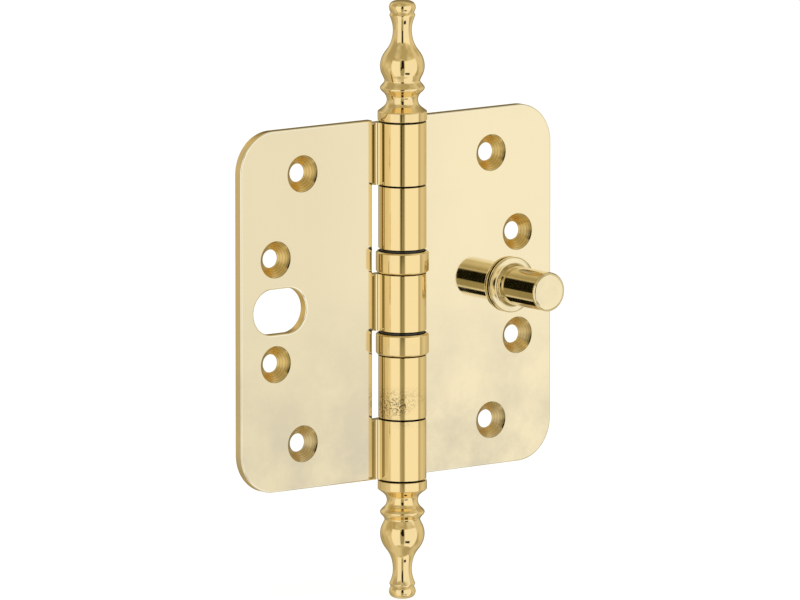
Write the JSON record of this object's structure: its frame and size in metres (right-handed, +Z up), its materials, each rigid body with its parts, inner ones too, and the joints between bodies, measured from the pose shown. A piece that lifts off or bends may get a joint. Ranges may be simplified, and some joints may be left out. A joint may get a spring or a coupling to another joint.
{
  "type": "door hinge",
  "caption": "Ball-bearing butt hinge with round-cornered leaves, turned finials at both ends of its pin, and a security stud that enters an oval hole in the other leaf when shut.",
  "frame": {"origin": "on the pin's axis, at mid height of the leaves", "axes": "+Z up along the pin; +X from the pin into the door leaf, with the hinge open flat; -Y the way the countersunk faces look, +Y towards the backs of the leaves"},
  "size_m": [0.0954, 0.0207, 0.1483],
  "materials": {
    "polished_brass": "mirror polished",
    "turned_brass": "mirror polished on the lathe",
    "pin_steel": "ground",
    "bearing_steel": "hardened and polished"
  },
  "bodies": {
    "frame_side": {"frame_leaf": "polished_brass", "hinge_pin": "pin_steel", "top_finial": "turned_brass", "bottom_finial": "turned_brass", "bearing_1_sleeve": "turned_brass", "bearing_1_lower_race": "bearing_steel", "bearing_2_upper_race": "bearing_steel"},
    "door_side": {"door_leaf": "polished_brass", "security_stud": "polished_brass", "bearing_1_upper_race": "bearing_steel", "bearing_2_sleeve": "turned_brass", "bearing_2_lower_race": "bearing_steel"},
    "bearing_1_balls": {"bearing_1_ball_1": "bearing_steel", "bearing_1_ball_2": "bearing_steel", "bearing_1_ball_3": "bearing_steel", "bearing_1_ball_4": "bearing_steel", "bearing_1_ball_5": "bearing_steel", "bearing_1_ball_6": "bearing_steel", "bearing_1_ball_7": "bearing_steel", "bearing_1_ball_8": "bearing_steel", "bearing_1_ball_9": "bearing_steel", "bearing_1_ball_10": "bearing_steel", "bearing_1_ball_11": "bearing_steel", "bearing_1_ball_12": "bearing_steel"},
    "bearing_2_balls": {"bearing_2_ball_1": "bearing_steel", "bearing_2_ball_2": "bearing_steel", "bearing_2_ball_3": "bearing_steel", "bearing_2_ball_4": "bearing_steel", "bearing_2_ball_5": "bearing_steel", "bearing_2_ball_6": "bearing_steel", "bearing_2_ball_7": "bearing_steel", "bearing_2_ball_8": "bearing_steel", "bearing_2_ball_9": "bearing_steel", "bearing_2_ball_10": "bearing_steel", "bearing_2_ball_11": "bearing_steel", "bearing_2_ball_12": "bearing_steel"}
  },
  "joints": [
    {"name": "leaf_swing", "type": "hinge", "parent": "frame_side", "child": "door_side", "pos_m": [0, 0, 0], "axis": [0, 0, 1], "range_deg": [-180, 90]},
    {"name": "bearing_1_orbit", "type": "hinge", "parent": "frame_side", "child": "bearing_1_balls", "pos_m": [0, 0, 0], "axis": [0, 0, 1], "range_deg": [-90, 45]},
    {"name": "bearing_2_orbit", "type": "hinge", "parent": "frame_side", "child": "bearing_2_balls", "pos_m": [0, 0, 0], "axis": [0, 0, 1], "range_deg": [-90, 45]}
  ],
  "couplings": [
    {"joint": "bearing_1_orbit", "follows": "leaf_swing", "ratio": 0.5},
    {"joint": "bearing_2_orbit", "follows": "leaf_swing", "ratio": 0.5}
  ]
}
